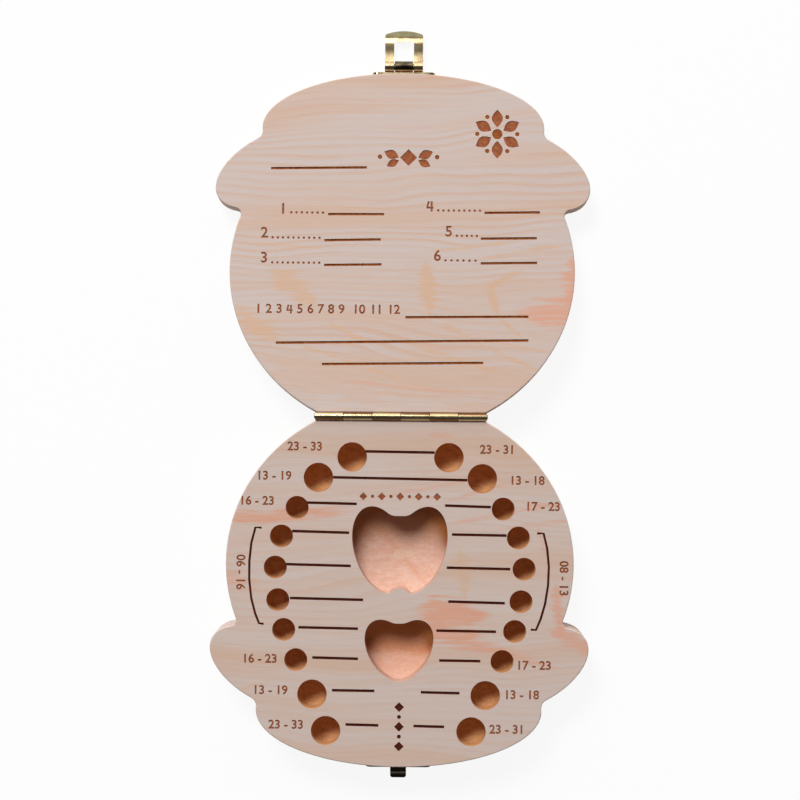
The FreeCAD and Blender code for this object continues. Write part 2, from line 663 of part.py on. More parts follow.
def keeper_plate(screws):
    """Plate on the base's front wall with a hook that leads out of its upper edge and bends down."""

    def out(distance):
        return f"(-({PLATE_BACK} + {distance}))"

    sheet_thickness = "sizes.hasp_sheet"
    reach, bend_start = "sizes.hook_reach", "(sizes.hook_reach - sizes.hook_bend)"
    bend_low = f"({HOOK_TOP_Z} - sizes.hook_bend)"
    body = new_body("keeper_hook")
    profile = sketch_on(body, "YZ_Plane", "hook_profile")
    draw_profile(profile, [
        (out(f"{sheet_thickness} / 2"), HOOK_TOP_Z),
        (out(bend_start), HOOK_TOP_Z, "sizes.hook_bend", -1),
        (out(reach), bend_low),
        (out(reach), HOOK_TIP_Z),
        (out(f"{reach} - {sheet_thickness}"), HOOK_TIP_Z),
        (out(f"{reach} - {sheet_thickness}"), bend_low, f"(sizes.hook_bend - {sheet_thickness})", 1),
        (out(bend_start), f"{HOOK_TOP_Z} - {sheet_thickness}"),
        (out(f"{sheet_thickness} / 2"), f"{HOOK_TOP_Z} - {sheet_thickness}"),
    ])
    sweep_evenly(body, "Pad", "hook", profile, "sizes.hook_width")
    outline = box("hook_outline", "sizes.hook_width", f"{reach} + sizes.overrun", "2 * sizes.hook_reach",
                  "-sizes.hook_width / 2", out(reach), f"{HOOK_TOP_Z} - sizes.hook_reach")
    doc.recompute()
    corners = [number for number, corner in upright_corners(outline.Shape) if corner.y < value(out("0"))]
    hook = doc.addObject("Part::Common", "hook_rounded")
    hook.Base = body
    hook.Tool = rounded("hook_corners", outline, [(number, value("sizes.hook_round")) for number in corners])
    plate = front_plate("keeper_plate", -1, "sizes.keeper_plate_height", KEEPER_SCREW_Z)
    holes = [tool for place in screws for tool in countersunk_hole(place)]
    carry(cut("keeper_plate_cut", fuse("keeper_whole", [plate, hook]), holes), "keeper_plate", False)


def base_board(back_screws, front_screws):
    blank = board_outline("base", -1, BASE_LOW, "sizes.base_thickness")
    pilots = [pilot_hole(place, "sizes.hinge_sheet") for place in back_screws]
    pilots += [pilot_hole(place, "sizes.hasp_sheet") for place in front_screws]
    teeth = [tooth_drills("molar"), tooth_drills("front")]
    pockets = [pocket_cutter("tooth_pocket", True), pocket_cutter("heart_pocket", False)]
    carry(cut("base_board", blank, teeth + pockets + pilots), "base_board", False)


def lid_board(back_screws, front_screws):
    blank = board_outline("lid", 1, LID_LOW, "sizes.lid_thickness")
    pilots = [pilot_hole(place, "sizes.hinge_sheet") for place in back_screws]
    pilots += [pilot_hole(place, "sizes.hasp_sheet") for place in front_screws]
    carry(cut("lid_board", blank, pilots), "lid_board", True)


def write_parts():
    """Checks every object and each piece's shape, then writes one file per piece."""
    doc.recompute()
    failed = [thing.Name for thing in doc.Objects if {"Invalid", "Error"} & set(thing.State)]
    bad = [piece.Label for piece in nodes if piece.Shape.isNull() or not piece.Shape.isValid()]
    several = [piece.Label for piece in nodes if len(piece.Shape.Solids) != 1]
    if failed or bad or several:
        raise RuntimeError(f"failed {failed}, bad shapes {bad}, not one solid {several}")
    os.makedirs("parts", exist_ok=True)
    for piece in nodes:
        piece.Shape.exportStep(f"parts/{piece.Label}.step")


nodes = []
base_leaf_screws = leaf_screws(-1, "base_leaf_screw")
lid_leaf_screws = leaf_screws(1, "lid_leaf_screw")
hasp_screws = plate_screws(1, HASP_SCREW_Z, "hasp_screw")
keeper_screws = plate_screws(-1, KEEPER_SCREW_Z, "keeper_screw")
base_board(base_leaf_screws, keeper_screws)
lid_board(lid_leaf_screws, hasp_screws)
hinge_leaf("base_hinge_leaf", -1, base_leaf_screws)
hinge_leaf("lid_hinge_leaf", 1, lid_leaf_screws)
pin("hinge_pin", "sizes.hinge_pin", "sizes.hinge_length + 2 * sizes.pin_stand", "0", "0", False)
hasp_plate(hasp_screws)
hasp_flap()
pin("hasp_pin", "sizes.hasp_pin", "sizes.flap_width", PIVOT_Y, PIVOT_Z, True)
keeper_plate(keeper_screws)
for places in (base_leaf_screws, lid_leaf_screws, hasp_screws, keeper_screws):
    for number, place in enumerate(places, start=1):
        screw(place, number)
write_parts()
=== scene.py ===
import bpy
import bmesh
import json
import math
from mathutils import Matrix, Vector


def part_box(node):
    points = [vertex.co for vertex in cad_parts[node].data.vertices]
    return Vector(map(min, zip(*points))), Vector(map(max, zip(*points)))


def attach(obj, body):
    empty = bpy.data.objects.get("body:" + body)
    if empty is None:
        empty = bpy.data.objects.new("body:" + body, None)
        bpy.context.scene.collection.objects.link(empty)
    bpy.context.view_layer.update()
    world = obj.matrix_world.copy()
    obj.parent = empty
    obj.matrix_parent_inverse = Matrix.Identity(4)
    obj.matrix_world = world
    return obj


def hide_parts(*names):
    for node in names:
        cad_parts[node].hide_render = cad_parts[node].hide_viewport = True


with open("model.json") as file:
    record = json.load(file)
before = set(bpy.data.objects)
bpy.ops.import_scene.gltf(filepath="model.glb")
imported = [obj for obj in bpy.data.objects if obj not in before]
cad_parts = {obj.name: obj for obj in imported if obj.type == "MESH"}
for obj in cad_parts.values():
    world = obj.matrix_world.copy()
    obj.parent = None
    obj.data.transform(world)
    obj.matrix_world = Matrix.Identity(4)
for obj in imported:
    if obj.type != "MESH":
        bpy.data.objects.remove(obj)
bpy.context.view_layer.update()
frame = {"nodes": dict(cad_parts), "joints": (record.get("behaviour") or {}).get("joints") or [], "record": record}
nodes = frame["nodes"]
joints = {joint["name"]: joint for joint in frame["joints"]}


def linear(red, green, blue):
    """Scene colour of an sRGB colour given in 0 to 255."""
    levels = [level / 255 for level in (red, green, blue)]
    return [v / 12.92 if v <= 0.04045 else ((v + 0.055) / 1.055) ** 2.4 for v in levels] + [1.0]


def grey(level):
    """Scene colour of a plain grey."""
    return (level, level, level, 1)


# Engraving is drawn in millimetres on each board: x across, v away from the hinge edge.
MM = 0.001
HINGE_AXIS = Vector(joints["lid_hinge"]["pos_m"])
LID_TILT = math.radians(joints["lid_hinge"]["range_deg"][1] - 180)
BASE_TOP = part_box("base_board")[1].z
HINGE_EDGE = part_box("base_board")[1].y
base_face = Matrix.Translation((0, HINGE_EDGE, BASE_TOP)) @ Matrix.Diagonal((MM, MM, MM, 1))
lid_face = (
    Matrix.Translation(HINGE_AXIS)
    @ Matrix.Rotation(-LID_TILT, 4, "X")
    @ Matrix.Translation((0, HINGE_AXIS.y - HINGE_EDGE, BASE_TOP - HINGE_AXIS.z))
    @ Matrix.Diagonal((MM, MM, MM, 1))
)

# A side is a board's face and the way in which v runs along the face's own y.
base_side = (base_face, -1)
lid_side = (lid_face, 1)

# Depths of the grooves, how far their cutters stand above the face, and the widths of the lines.
LINE_DEPTH = 0.4
MARK_DEPTH = 0.25
ABOVE = 0.3
BASE_LINE = 0.88
BRACKET_LINE = BASE_LINE * 0.85
LID_LINE = 0.8

# Ruled lines: x and v of the start and of the end.
base_lines = [
    (-11.4, 10.0, 11.1, 10.2), (-21.9, 18.5, 21.8, 19.1),
    (-30.7, 26.8, -14.1, 27.1), (-35.1, 36.1, -16.5, 36.5), (-37.0, 46.9, -15.9, 47.3),
    (-35.6, 57.9, -11.8, 58.3), (-32.8, 67.4, -13.4, 67.7), (-28.2, 77.2, -13.3, 77.5),
    (-21.7, 87.8, -7.9, 87.9), (-17.2, 98.9, -6.5, 99.1),
    (14.6, 27.4, 29.5, 27.8), (16.9, 36.8, 34.7, 37.0), (15.3, 47.6, 36.0, 47.9),
    (15.9, 58.6, 34.3, 59.0), (12.1, 68.1, 31.5, 68.3), (13.1, 77.8, 26.5, 77.9),
    (7.2, 88.2, 19.8, 88.4), (4.9, 99.2, 14.9, 99.4),
]
lid_lines = [
    (-43.5, 80.4, -11.9, 80.9), (-24.5, 65.2, -6.1, 65.3), (26.9, 66.0, 45.1, 66.3),
    (-25.6, 56.5, -7.1, 56.9), (25.7, 57.4, 44.1, 57.7), (-25.6, 48.3, -6.8, 48.6),
    (25.7, 49.2, 44.2, 49.5), (1.2, 31.2, 41.4, 31.7), (-41.0, 22.5, 41.4, 23.9),
    (-25.9, 15.6, 26.7, 16.4),
]
brackets = [
    [(-45.0, 35.1), (-47.0, 35.0), (-48.3, 40.0), (-48.9, 46.0), (-48.9, 52.0), (-48.2, 58.0),
     (-46.9, 63.0), (-45.6, 66.2), (-44.1, 66.4)],
    [(44.6, 36.2), (46.7, 36.2), (47.9, 41.0), (48.5, 47.0), (48.3, 53.0), (47.4, 59.0),
     (46.0, 64.0), (44.5, 67.6), (42.8, 67.5)],
]

# Rough ages in months beside the holes, as plain numbers: what is drawn, its middle, and its turn in degrees.
base_numbers = [
    ("23 - 33", -31.1, 8.6, 0), ("13 - 19", -41.1, 18.2, 0), ("16 - 23", -46.6, 26.4, 0),
    ("06 - 16", -51.8, 49.6, -90),
    ("16 - 23", -45.3, 77.8, 0), ("13 - 19", -41.8, 88.0, 0), ("23 - 33", -36.6, 99.2, 0),
    ("23 - 31", 31.5, 9.2, 0), ("13 - 18", 41.2, 19.2, 0), ("17 - 23", 46.4, 27.6, 0),
    ("08 - 13", 53.3, 50.8, -90),
    ("17 - 23", 43.9, 79.3, 0), ("13 - 18", 40.0, 88.9, 0), ("23 - 31", 35.3, 100.2, 0),
]
BASE_NUMBER = 2.75

# Row of diamonds and dots above the tooth pocket, and column of them below the heart pocket.
ROW_REACH = 4
ROW_PITCH = 3.0
ROW_V = 24.6
ROW_DOT = 0.55
ROW_DIAMOND = 1.3
COLUMN_REACH = 2
COLUMN_PITCH = 3.2
COLUMN_X = 0.2
COLUMN_V = 99.5
COLUMN_DOT = 0.65
COLUMN_DIAMOND = 1.6

# Numbered fields of the lid: the number, where it stands, and where its row of dots starts, ends and lies.
lid_fields = [
    ("1", -39.3, 66.8, -36.6, -26.2, 65.7), ("2", -45.3, 58.8, -42.6, -27.2, 57.3),
    ("3", -45.3, 50.5, -42.6, -27.2, 49.0), ("4", 9.0, 68.0, 11.7, 25.4, 66.7),
    ("5", 15.2, 59.6, 17.9, 24.4, 58.3), ("6", 11.5, 51.5, 14.2, 24.0, 50.1),
]
LID_NUMBER = 3.4
LEADER_PITCH = 1.8
LEADER_DOT = 0.4
LEADER_DOT_SIDES = 12

# Row of months on the lid: how many, where the row starts and lies, its steps and the height of its numbers.
MONTHS = 12
LAST_ONE_DIGIT = 9
MONTHS_START = -50.3
MONTHS_V = 33.6
MONTH_STEP = 3.4
TWO_DIGIT_STEP = 2.3
MONTH_NUMBER = 2.9

# Leaf ornament of the lid: its diamond, and at each side its leaves (both tips and swell) and its dot.
ORNAMENT = (1.8, 84.3)
ORNAMENT_DIAMOND = 2.8
ornament_leaves = [((3.2, 0.0), (8.0, 2.0), 0.3), ((3.2, -0.9), (7.2, -2.9), 0.28)]
ORNAMENT_DOT = (9.4, 0.2)
ORNAMENT_DOT_RADIUS = 0.75

# Flower of the lid: its middle, its petals, and the dots between them.
FLOWER = Vector((31.0, 92.4))
FLOWER_HEART = 1.7
PETALS = 6
PETAL_TURN = 360 / PETALS
PETAL_START = 2.3
PETAL_END = 8.2
PETAL_SWELL = 0.31
FLOWER_DOT_REACH = 6.6
FLOWER_DOT = 0.7

# Outline of a four with an open top, and its middle, in shares of its height.
four_shares = [
    (0.41, 0.0), (0.60, 0.0), (0.60, 0.30), (0.70, 0.30), (0.70, 0.47), (0.60, 0.47), (0.60, 1.0),
    (0.41, 1.0), (0.41, 0.47), (0.18, 0.47), (0.32, 1.0), (0.13, 1.0), (0.0, 0.47), (0.0, 0.30),
    (0.41, 0.30),
]
FOUR_MIDDLE = (0.35, 0.5)

# The font's digits: their height as a share of the font's size, and how much their strokes are thickened.
DIGIT_SHARE = 0.69
DIGIT_SWELL = 0.09
DIGIT_RESOLUTION = 3

# Clean-up of the boards' meshes: weld distance in metres, smoothing limit, and how finely normals and
# offsets tell flat patches apart.
WELD = 0.000001
SMOOTH_LIMIT = math.radians(38)
NORMAL_DIGITS = 3
OFFSET_DIGITS = 6

# Colours of the wood: plain, warm bands, late growth, and the streaks.
PALE_BASE = linear(203, 185, 176)
PALE_LID = linear(199, 183, 176)
WARM_WOOD = linear(203, 171, 150)
LATE_WOOD = linear(201, 163, 139)
PINK = linear(212, 158, 134)
PEACH = linear(206, 168, 138)

# Grain, each as noise scales along x and y per millimetre, detail and roughness.
LINE_GRAIN = (0.006, 0.36, 3.0, 0.6)
BAND_GRAIN = (0.006, 0.085, 2.0, 0.5)
FADE_GRAIN = (0.012, 0.11, 2.0, 0.5)
FIBRE_GRAIN = (0.10, 5.5, 3.0, 0.65)
PORE_GRAIN = (0.35, 9.0, 2.0, 0.5)
RAG_GRAIN = (0.06, 0.6, 4.0, 0.65)
VEIN_GRAIN = (0.02, 0.9, 3.0, 0.6)
FUZZ_GRAIN = (0.28, 0.7, 4.0, 0.65)
SCRATCH_GRAIN = (0.7, 3.2, 3.0, 0.7)

# Waves that bend the grain, each with how far it swings in millimetres.
waves = [((0.009, 0.02, 2.0, 0.5), 30.0), ((0.03, 0.08, 2.0, 0.5), 1.3), ((0.1, 0.3, 2.0, 0.5), 0.3)]
DEPTH_DRIFT = 0.4
LEAN_SPAN = (45.0, 5.0)

# Growth rings: their width, an offset that keeps their count positive, and the late part of a ring.
RING_WIDTH = 2.5
RING_OFFSET = 200.0
LATE_RISE = (0.3, 0.9)
LATE_FALL = (1.0, 0.92)

# What each grain does: a span of noise and, where it is fixed, the span of shares that it becomes.
FADE_SEED = 5.0
FADE_SPAN = (0.36, 0.66)
FAINTEST_RING = 0.1
BAND_SEED = 3.0
BAND_SPAN = (0.42, 0.68, 0.0, 0.8)
LINE_SPAN = (0.52, 0.72)
LINE_SHARE = 0.55
RAG_SPAN = (0.32, 0.66, 0.4, 1.25)
VEIN_SPAN = (0.36, 0.58, 0.72, 1.0)
FIBRE_SHADE = (0.3, 0.7, 0.95, 1.04)
PORE_SHADE = (0.66, 0.8, 1.0, 0.94)
SCRATCH_SHADE = (0.32, 0.68, 0.92, 1.05)
FIBRE_ROUGH = (0.3, 0.7, 0.62, 0.72)
FIBRE_BUMP = (0.25, 0.00008)
WOOD_SPECULAR = 0.25

# A streak's tapers at its start and end, in shares of its length, and its soft edge in millimetres.
STREAK_START = (-0.1, 0.3)
STREAK_END = (1.1, 0.7)
STREAK_OUTSIDE = 0.15
STREAK_INSIDE = 0.4
STREAK_INSIDE_SHARE = 0.5

# Colours of the milled pockets and the drilled holes; the wall, back, tan and pale lit colours of the pockets are
# painted light and shade.
MILLED_WOOD = linear(211, 164, 142)
MILLED_PALE = linear(215, 178, 160)
# Painted shade: dark brown for the pockets' walls that face away from the light.
WALL_SHADE_BROWN = linear(138, 74, 34)
# Painted shadow: brown for the back of each pocket, below its hinge-side edge.
BACK_SHADOW_BROWN = linear(181, 120, 70)
# Painted light and shade: tan where the pockets' shadows fade, and a pale colour where a pocket's floor is lit.
PENUMBRA_TAN = linear(204, 134, 88)
LIT_FLOOR_PALE = linear(216, 188, 164)
DRILLED_WOOD = linear(217, 161, 112)
DRILLED_DARK = linear(203, 145, 96)

# The rounded field of the base that holds all hollows, and the depths at which their colour sets in.
FIELD_HALF_WIDTH = 47.0
FIELD_HALF_LENGTH = 53.0
FIELD_MIDDLE = -57.0
FIELD_POWER = 3.0
FIELD_EDGE = (1.15, 1.05)
HOLLOW_DEPTHS = (-0.25, -1.2)

# The part of that field that holds the two pockets, and where a painted shadow browns the back of each along y.
POCKET_REACH = 16.6
POCKET_START = -23.0
POCKET_FADE = 0.6
TOOTH_TOP = -31.0
TOOTH_SHADOW_SPAN = (TOOTH_TOP - 11.0, TOOTH_TOP - 3.0, 0.0, 0.55)
HEART_TOP = -64.5
HEART_SHADOW_SPAN = (HEART_TOP - 11.0, HEART_TOP - 4.0)
HEART_SHADOW_END = (HEART_TOP + 6.0, HEART_TOP + 2.0)

# Walls of the pockets that painted shade darkens, by how upright they are and how far they face away from the
# hinge, where the light comes from.
WALL_UPRIGHT = (0.99, 0.75)
WALL_FACING = (0.25, -0.15)

# Fuzz of the milled wood: where it mixes two colours, and how ragged it makes the pockets' streaks.
FUZZ_SPAN = (0.36, 0.64)
POCKET_RAG_SPAN = (0.3, 0.7, 0.6, 1.2)

# Streaks of the wood, and in the pockets bands of painted light and shade: where each starts and ends on the face,
# its half width at each, strength and tint.
base_streaks = [
    ((-66.0, -33.0), (-9.0, -28.6), (3.8, 2.2), 1.0, PINK),
    ((-16.0, -26.6), (37.0, -16.4), (1.0, 1.0), 0.55, PINK),
    ((12.0, -34.0), (60.0, -24.8), (1.1, 1.5), 0.65, PINK),
    ((13.0, -26.8), (40.0, -18.2), (0.9, 0.9), 0.6, PINK),
    ((26.0, -36.0), (58.0, -31.5), (0.8, 1.8), 0.45, PINK),
    ((4.0, -61.0), (30.0, -63.0), (7.4, 6.2), 1.0, PINK),
    ((6.0, -68.0), (29.0, -70.0), (5.8, 4.4), 1.0, PINK),
    ((8.0, -68.3), (57.0, -81.5), (4.6, 1.6), 0.95, PINK),
    ((50.5, -52.0), (53.2, -71.0), (3.2, 3.0), 0.85, PINK),
    ((48.0, -67.0), (65.0, -75.5), (4.0, 3.2), 0.8, PINK),
    ((8.0, -4.6), (19.0, -5.0), (1.2, 1.0), 0.6, PINK),
    ((19.5, -40.0), (21.5, -60.0), (3.2, 2.8), 0.6, PEACH),
    ((-61.0, -50.0), (-43.0, -54.0), (5.0, 2.4), 0.55, PINK),
    ((-56.0, -89.0), (-36.0, -83.0), (1.6, 0.9), 0.5, PEACH),
    ((44.5, -33.0), (48.5, -46.0), (1.6, 1.2), 0.5, PINK),
]
lid_streaks = [
    ((-60.0, 11.0), (60.0, 11.0), (12.0, 12.0), 0.7, WARM_WOOD),
    ((-44.0, 48.0), (-27.0, 34.0), (5.2, 6.0), 0.8, PEACH),
    ((-56.0, 35.0), (-39.0, 22.0), (4.6, 5.2), 0.8, PEACH),
    ((-40.0, 24.2), (6.0, 8.6), (1.0, 1.0), 0.75, PEACH),
    ((-27.0, 31.0), (-9.0, 21.4), (1.5, 1.3), 0.7, PEACH),
    ((7.6, 51.0), (9.6, 30.5), (3.8, 4.2), 0.85, PEACH),
    ((27.0, 40.6), (41.0, 48.0), (2.0, 1.4), 0.8, PEACH),
    ((28.0, 44.0), (31.6, 31.0), (2.3, 1.8), 0.8, PEACH),
    ((31.0, 31.6), (40.4, 24.0), (1.1, 1.0), 0.75, PEACH),
    ((11.6, 30.2), (24.4, 23.2), (1.7, 1.3), 0.7, PEACH),
    ((6.0, 52.6), (40.0, 56.6), (1.1, 0.9), 0.7, PEACH),
    ((24.0, 50.6), (58.0, 56.4), (1.1, 1.3), 0.75, PEACH),
    ((23.0, 23.8), (46.0, 13.2), (0.9, 0.9), 0.75, PEACH),
    ((3.0, 22.0), (38.0, 11.4), (1.1, 0.9), 0.75, PEACH),
    ((25.0, 23.8), (51.0, 19.8), (0.9, 0.9), 0.65, PEACH),
    ((-30.0, 12.0), (34.0, 4.4), (1.4, 1.6), 0.4, PINK),
    ((-56.0, 56.4), (-20.0, 53.0), (1.0, 1.0), 0.5, PEACH),
    ((35.0, 33.0), (70.0, 34.6), (6.2, 8.0), 1.0, PINK),
    ((56.5, 30.0), (56.0, 53.0), (5.6, 4.4), 1.0, PINK),
]
# Painted light and shade in the pockets: tan bands on the floors where their shadows fade, and a pale patch where
# the tooth pocket's floor is lit.
pocket_light_and_shade = [
    ((-6.0, -36.5), (9.0, -54.5), (1.8, 1.8), 0.3, PENUMBRA_TAN),
    ((-3.0, -43.9), (6.5, -43.9), (2.6, 2.6), 0.5, LIT_FLOOR_PALE),
    ((-16.0, -73.2), (16.0, -75.8), (3.6, 3.8), 0.68, PENUMBRA_TAN),
    ((-18.0, -79.0), (18.0, -79.0), (7.0, 7.0), 0.22, PENUMBRA_TAN),
]

# Scorched wood in the grooves: noise (scale, detail, roughness), stops of its two colours, gloss and bump.
SCORCH_NOISE = (900.0, 3.0, 0.6)
SCORCH_STOPS = (0.35, 0.68)
SCORCH_ROUGH = (0.3, 0.7, 0.7, 0.9)
SCORCH_SPECULAR = 0.15
SCORCH_BUMP = (0.3, 0.00005)

# Metals: two colours of each plating and its roughness. The dark brass stands in for shade and dark reflections,
# the pins' steel is darkened by painted shade, and the olive and the brown are painted reflections.
BRASS = linear(212, 188, 142)
BRASS_TINT = linear(220, 198, 154)
BRASS_ROUGH = 0.19
# Painted shade: a dark brass that stands in for shade and dark reflections on the keeper plate and the catch
# plate's knuckle.
DARK_SHADE_BRASS = linear(62, 52, 40)
DARK_SHADE_BRASS_TINT = linear(84, 71, 54)
DARK_SHADE_BRASS_ROUGH = 0.24
# Painted shade: the pins' steel is darker than bare steel, so that the gaps between the knuckles read as shaded.
PIN_STEEL_SHADED = linear(96, 88, 76)
PIN_STEEL_SHADED_TINT = linear(114, 106, 94)
STEEL_ROUGH = 0.3
LIP_REFLECTION_OLIVE = linear(124, 118, 90)
# Painted reflection: brown on the hinge knuckles' edges, as if they mirrored the wood.
KNUCKLE_REFLECTION_BROWN = linear(140, 92, 60)

# Matt clouds and faint pits of the plating, and how the clouds break up the painted shading.
CLOUD_NOISE = (420.0, 3.0, 0.55)
CLOUD_STOPS = (0.35, 0.7)
CLOUD_SPAN = (0.3, 0.7)
CLOUD_ROUGH = 0.02
CLOUD_SHADING = (1.0, 0.85)
PIT_NOISE = (3000.0, 2.0, 0.5)
PIT_BUMP = (0.05, 0.000005)

# Roundings of the catch and the spans of its painted reflection and shade, in metres before the loop's end, around
# its pivot, or on its plate.
CROSSBAR_BEND = (0.0047, 0.0023)
CROSSBAR_DROP = 0.00028
SHOULDER_BEND = (-0.0002, 0.0058)
SHOULDER_DROP = 0.0005
LIP_FADE = (0.0024, 0.0018)
KNUCKLE_DEPTH = 0.0014
KNUCKLE_FADE = 0.0005

# Painted brown reflection on the edges of the hinge knuckles, in metres from the hinge axis.
KNUCKLE_REFLECTION_FADE = (0.0004, 0.0008)
KNUCKLE_REFLECTION_BELOW = 0.0006

# The stage: floor, key light, world and camera, in metres and degrees.
FLOOR_SIZE = 6.0
FLOOR_PLACE = (0, 0.06, -0.0002)
FLOOR_GREY = 0.9
FLOOR_ROUGH = 0.9
FLOOR_GLOW = 0.995
FLOOR_GLOW_SHARE = 0.92
KEY_PLACE = (-0.65, 1.5, 1.95)
KEY_TARGET = (0.0, 0.05, 0.0)
KEY_SIZE = 0.95
KEY_POWER = 55.5
sky_levels = [(0.0, 0.22), (0.12, 0.08), (0.32, 0.02), (0.45, 0.13), (0.74, 0.11), (0.85, 1.4)]
CAMERA_SENSOR = 36.0
CAMERA_LENS = 80.7
CAMERA_CLIP = (0.01, 20.0)
CAMERA_PLACE = (0.003176, HINGE_AXIS.y + 0.007454, 0.6)
CAMERA_TURN = (-0.198, 0.346, 0.469)


class Graph:
    """Small helper for node trees."""

    def __init__(self, tree):
        self.tree = tree

    def add(self, kind, **settings):
        node = self.tree.nodes.new(kind)
        for name, setting in settings.items():
            setattr(node, name, setting)
        return node

    def feed(self, socket, source):
        if isinstance(source, bpy.types.NodeSocket):
            self.tree.links.new(source, socket)
        else:
            socket.default_value = source

    def math(self, operation, first, second=0.0):
        node = self.add("ShaderNodeMath", operation=operation)
        self.feed(node.inputs[0], first)
        self.feed(node.inputs[1], second)
        return node.outputs[0]

    def plus(self, first, second):
        return self.math("ADD", first, second)

    def times(self, first, second):
        return self.math("MULTIPLY", first, second)

    def ramp(self, source, stops):
        node = self.add("ShaderNodeValToRGB")
        elements = node.color_ramp.elements
        while len(elements) < len(stops):
            elements.new(0.5)
        for element, (place, colour) in zip(elements, stops):
            element.position = place
            element.color = colour
        self.feed(node.inputs[0], source)
        return node.outputs[0]

    def span(self, source, low, high, to_low=0.0, to_high=1.0):
        node = self.add("ShaderNodeMapRange", interpolation_type="SMOOTHSTEP")
        for socket, setting in zip(node.inputs[:5], (source, low, high, to_low, to_high)):
            self.feed(socket, setting)
        return node.outputs[0]

    def dot(self, across, along, across_share, along_share):
        return self.plus(self.times(across, across_share), self.times(along, along_share))

    def noise(self, vector, scale, detail, roughness):
        node = self.add("ShaderNodeTexNoise")
        self.feed(node.inputs["Vector"], vector)
        self.feed(node.inputs["Scale"], scale)
        self.feed(node.inputs["Detail"], detail)
        self.feed(node.inputs["Roughness"], roughness)
        return node.outputs[0]

    def mix(self, factor, first, second, blend="MIX"):
        # The colour sockets of this node come after those for numbers and vectors.
        node = self.add("ShaderNodeMix", data_type="RGBA", blend_type=blend)
        self.feed(node.inputs[0], factor)
        self.feed(node.inputs[6], first)
        self.feed(node.inputs[7], second)
        return node.outputs[2]

    def shade(self, colour, level):
        return self.mix(1.0, colour, self.join(level, level, level), "MULTIPLY")

    def join(self, x, y, z):
        node = self.add("ShaderNodeCombineXYZ")
        for socket, setting in zip(node.inputs, (x, y, z)):
            self.feed(socket, setting)
        return node.outputs[0]

    def split(self, vector):
        node = self.add("ShaderNodeSeparateXYZ")
        self.feed(node.inputs[0], vector)
        return node.outputs

    def bump(self, height, strength, distance, normal=None):
        node = self.add("ShaderNodeBump")
        self.feed(node.inputs["Height"], height)
        self.feed(node.inputs["Strength"], strength)
        self.feed(node.inputs["Distance"], distance)
        if normal is not None:
            self.feed(node.inputs["Normal"], normal)
        return node.outputs["Normal"]


def new_material(name):
    """A material, the helper for its nodes, and its shader."""
    material = bpy.data.materials.new(name)
    material.use_nodes = True
    graph = Graph(material.node_tree)
    return material, graph, material.node_tree.nodes["Principled BSDF"]


def board_coordinates(graph, face):
    """x, y and height on a board's face, in millimetres, from the board's own object coordinates."""
    turn = graph.add("ShaderNodeMapping", vector_type="TEXTURE")
    turn.inputs["Location"].default_value = face.to_translation()
    turn.inputs["Rotation"].default_value = face.to_euler()
    turn.inputs["Scale"].default_value = (MM, MM, MM)
    graph.feed(turn.inputs["Vector"], graph.add("ShaderNodeTexCoord").outputs["Object"])
    return graph.split(turn.outputs[0])


def streak(graph, x, y, ragged, start, end, widths):
    """A streak that runs to a point at both ends, with ragged edges and a half width near each end."""
    along = Vector(end) - Vector(start)
    length, way = along.length, along.normalized()
    from_x = graph.math("SUBTRACT", x, start[0])
    from_y = graph.math("SUBTRACT", y, start[1])
    share = graph.math("DIVIDE", graph.dot(from_x, from_y, way.x, way.y), length)
    off = graph.math("ABSOLUTE", graph.dot(from_x, from_y, -way.y, way.x))
    half = graph.plus(graph.times(share, widths[1] - widths[0]), widths[0])
    point = graph.times(graph.span(share, *STREAK_START), graph.span(share, *STREAK_END))
    half = graph.times(graph.times(half, point), ragged)
    inside = STREAK_INSIDE + STREAK_INSIDE_SHARE * max(widths)
    return graph.span(graph.math("SUBTRACT", off, half), STREAK_OUTSIDE, -inside)


def hollow_mask(graph, x, y, z):
    """1 inside the milled hollows, which all lie within a rounded field of the base."""
    off = graph.math("ABSOLUTE", graph.math("SUBTRACT", y, FIELD_MIDDLE))
    across = graph.math("DIVIDE", graph.math("ABSOLUTE", x), FIELD_HALF_WIDTH)
    along = graph.math("DIVIDE", off, FIELD_HALF_LENGTH)
    field = graph.plus(graph.math("POWER", across, FIELD_POWER), graph.math("POWER", along, FIELD_POWER))
    return graph.times(graph.span(field, *FIELD_EDGE), graph.span(z, *HOLLOW_DEPTHS))


def hollow_colour(graph, x, y, fuzz):
    """Fuzzy pale floors in the two pockets with painted light and shade: browner walls and backs as painted shade,
    tan bands at the shadows' edges and a pale lit patch; and orange-brown drilled holes around them.
    """
    normal = graph.split(graph.add("ShaderNodeTexCoord").outputs["Normal"])
    pocket = graph.mix(graph.span(fuzz, *FUZZ_SPAN), MILLED_WOOD, MILLED_PALE)
    ragged = graph.span(fuzz, *POCKET_RAG_SPAN)
    # Painted light and shade: tan bands at the edges of the pockets' shadows and a pale lit patch.
    for start, end, widths, amount, tint in pocket_light_and_shade:
        mask = graph.times(streak(graph, x, y, ragged, start, end, widths), amount)
        pocket = graph.mix(mask, pocket, tint)
    # Painted shade: upright walls that face away from the hinge, and so from the light, turn dark brown.
    wall_shade = graph.times(graph.span(normal[2], *WALL_UPRIGHT), graph.span(normal[1], *WALL_FACING))
    pocket = graph.mix(wall_shade, pocket, WALL_SHADE_BROWN)
    # Painted shadow: the back of each pocket, where its hinge-side edge casts shadow, turns browner.
    tooth = graph.span(y, *TOOTH_SHADOW_SPAN)
    heart = graph.times(graph.span(y, *HEART_SHADOW_SPAN), graph.span(y, *HEART_SHADOW_END))
    pocket = graph.mix(graph.math("MAXIMUM", tooth, heart), pocket, BACK_SHADOW_BROWN)
    beside = graph.span(graph.math("ABSOLUTE", x), POCKET_REACH, POCKET_REACH + POCKET_FADE)
    before = graph.span(y, POCKET_START - POCKET_FADE, POCKET_START)
    hole = graph.mix(graph.span(fuzz, *FUZZ_SPAN), DRILLED_WOOD, DRILLED_DARK)
    return graph.mix(graph.math("MAXIMUM", beside, before), pocket, hole)


